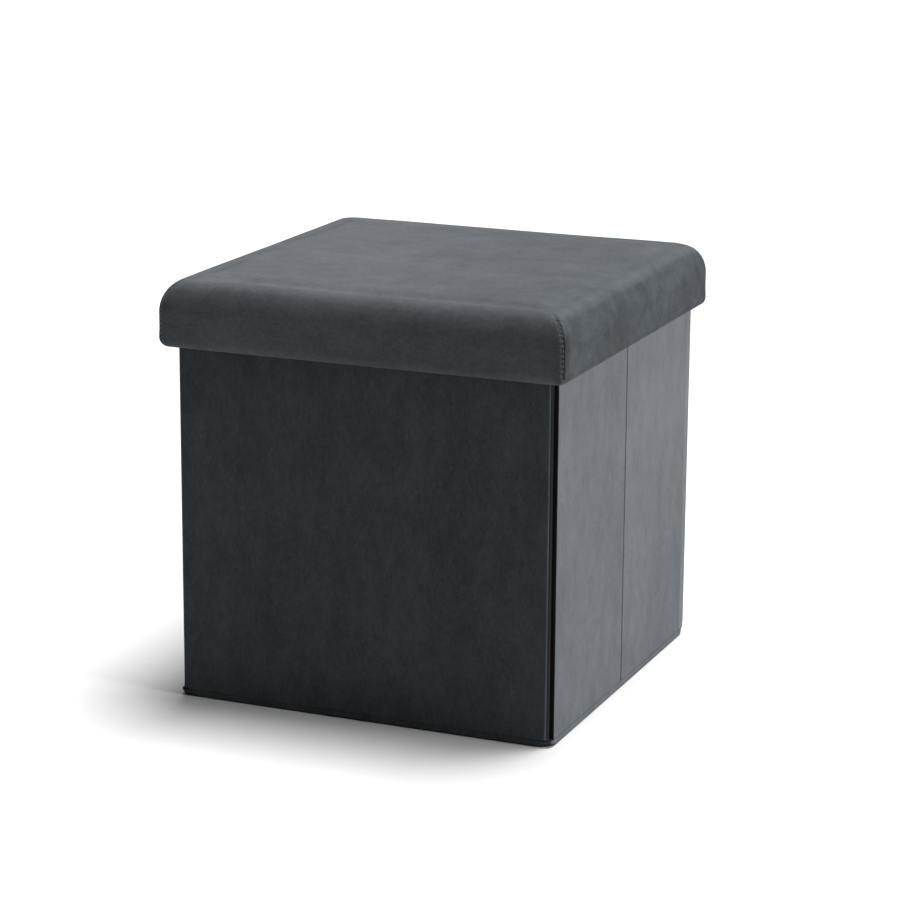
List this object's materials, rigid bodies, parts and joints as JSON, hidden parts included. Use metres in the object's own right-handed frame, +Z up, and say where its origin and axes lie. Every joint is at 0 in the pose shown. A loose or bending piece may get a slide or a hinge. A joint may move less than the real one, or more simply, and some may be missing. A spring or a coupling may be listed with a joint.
{
  "type": "storage ottoman",
  "caption": "Cube-shaped folding storage ottoman in dark velvet, with creased side walls that fold inward, a lift-up stiff base and a padded lift-off lid.",
  "frame": {"origin": "on the floor, under the middle of the closed ottoman", "axes": "+Z up, -Y out of the plain front wall, +X out of the right wall, which has a fold crease down its middle"},
  "size_m": [0.38, 0.38, 0.38],
  "materials": {
    "velvet": "short-pile velvet, dark charcoal grey, with a nap that shades from light to dark",
    "lining": "black non-woven lining cloth",
    "board": "raw medium-density fibreboard",
    "foam": "soft polyurethane foam sheet",
    "steel": "bright galvanised wire"
  },
  "bodies": {
    "back_panel": {"floor_cloth": "lining", "hem_band": "velvet", "back_board": "board", "back_cover": "velvet", "back_lining": "lining", "back_right_hinge_cloth": "lining", "back_left_hinge_cloth": "lining"},
    "right_rear_panel": {"right_rear_board": "board", "right_rear_cover": "velvet", "right_rear_lining": "lining", "right_crease_seam": "velvet"},
    "right_front_panel": {"right_front_board": "board", "right_front_cover": "velvet", "right_front_lining": "lining"},
    "front_panel": {"front_board": "board", "front_cover": "velvet", "front_lining": "lining", "front_right_hinge_cloth": "lining", "front_left_hinge_cloth": "lining"},
    "left_rear_panel": {"left_rear_board": "board", "left_rear_cover": "velvet", "left_rear_lining": "lining", "left_crease_seam": "velvet"},
    "left_front_panel": {"left_front_board": "board", "left_front_cover": "velvet", "left_front_lining": "lining"},
    "base_flap": {"base_board": "board", "base_lining": "lining", "base_hinge_tape": "lining", "pull_tab": "velvet", "pull_tab_staples": "steel"},
    "lid": {"lid_board": "board", "lid_rail_front": "board", "lid_rail_rear": "board", "lid_rail_left": "board", "lid_rail_right": "board", "lid_brads": "steel", "lid_foam": "foam", "lid_cover": "velvet", "lid_lining": "lining", "lid_staples": "steel"}
  },
  "joints": [
    {"name": "right_rear_fold", "type": "hinge", "parent": "back_panel", "child": "right_rear_panel", "pos_m": [0.1673, 0.1673, 0.175], "axis": [0, 0, -1], "range_deg": [0, 86]},
    {"name": "right_crease_fold", "type": "hinge", "parent": "right_rear_panel", "child": "right_front_panel", "pos_m": [0.1777, 0, 0.175], "axis": [0, 0, 1], "range_deg": [0, 172]},
    {"name": "front_right_fold", "type": "hinge", "parent": "right_front_panel", "child": "front_panel", "pos_m": [0.1673, -0.1673, 0.175], "axis": [0, 0, -1], "range_deg": [0, 86]},
    {"name": "left_rear_fold", "type": "hinge", "parent": "back_panel", "child": "left_rear_panel", "pos_m": [-0.1673, 0.1673, 0.175], "axis": [0, 0, 1], "range_deg": [0, 86]},
    {"name": "left_crease_fold", "type": "hinge", "parent": "left_rear_panel", "child": "left_front_panel", "pos_m": [-0.1777, 0, 0.175], "axis": [0, 0, -1], "range_deg": [0, 172]},
    {"name": "base_lift", "type": "hinge", "parent": "back_panel", "child": "base_flap", "pos_m": [0, 0.1696, 0.0056], "axis": [-1, 0, 0], "range_deg": [0, 90]},
    {"name": "lid_lift", "type": "slide", "parent": "back_panel", "child": "lid", "axis": [0, 0, 1], "range_m": [0, 0.4]}
  ],
  "couplings": [
    {"joint": "right_crease_fold", "follows": "right_rear_fold", "ratio": 2},
    {"joint": "front_right_fold", "follows": "right_rear_fold", "ratio": 1},
    {"joint": "left_rear_fold", "follows": "right_rear_fold", "ratio": 1},
    {"joint": "left_crease_fold", "follows": "right_rear_fold", "ratio": 2}
  ]
}
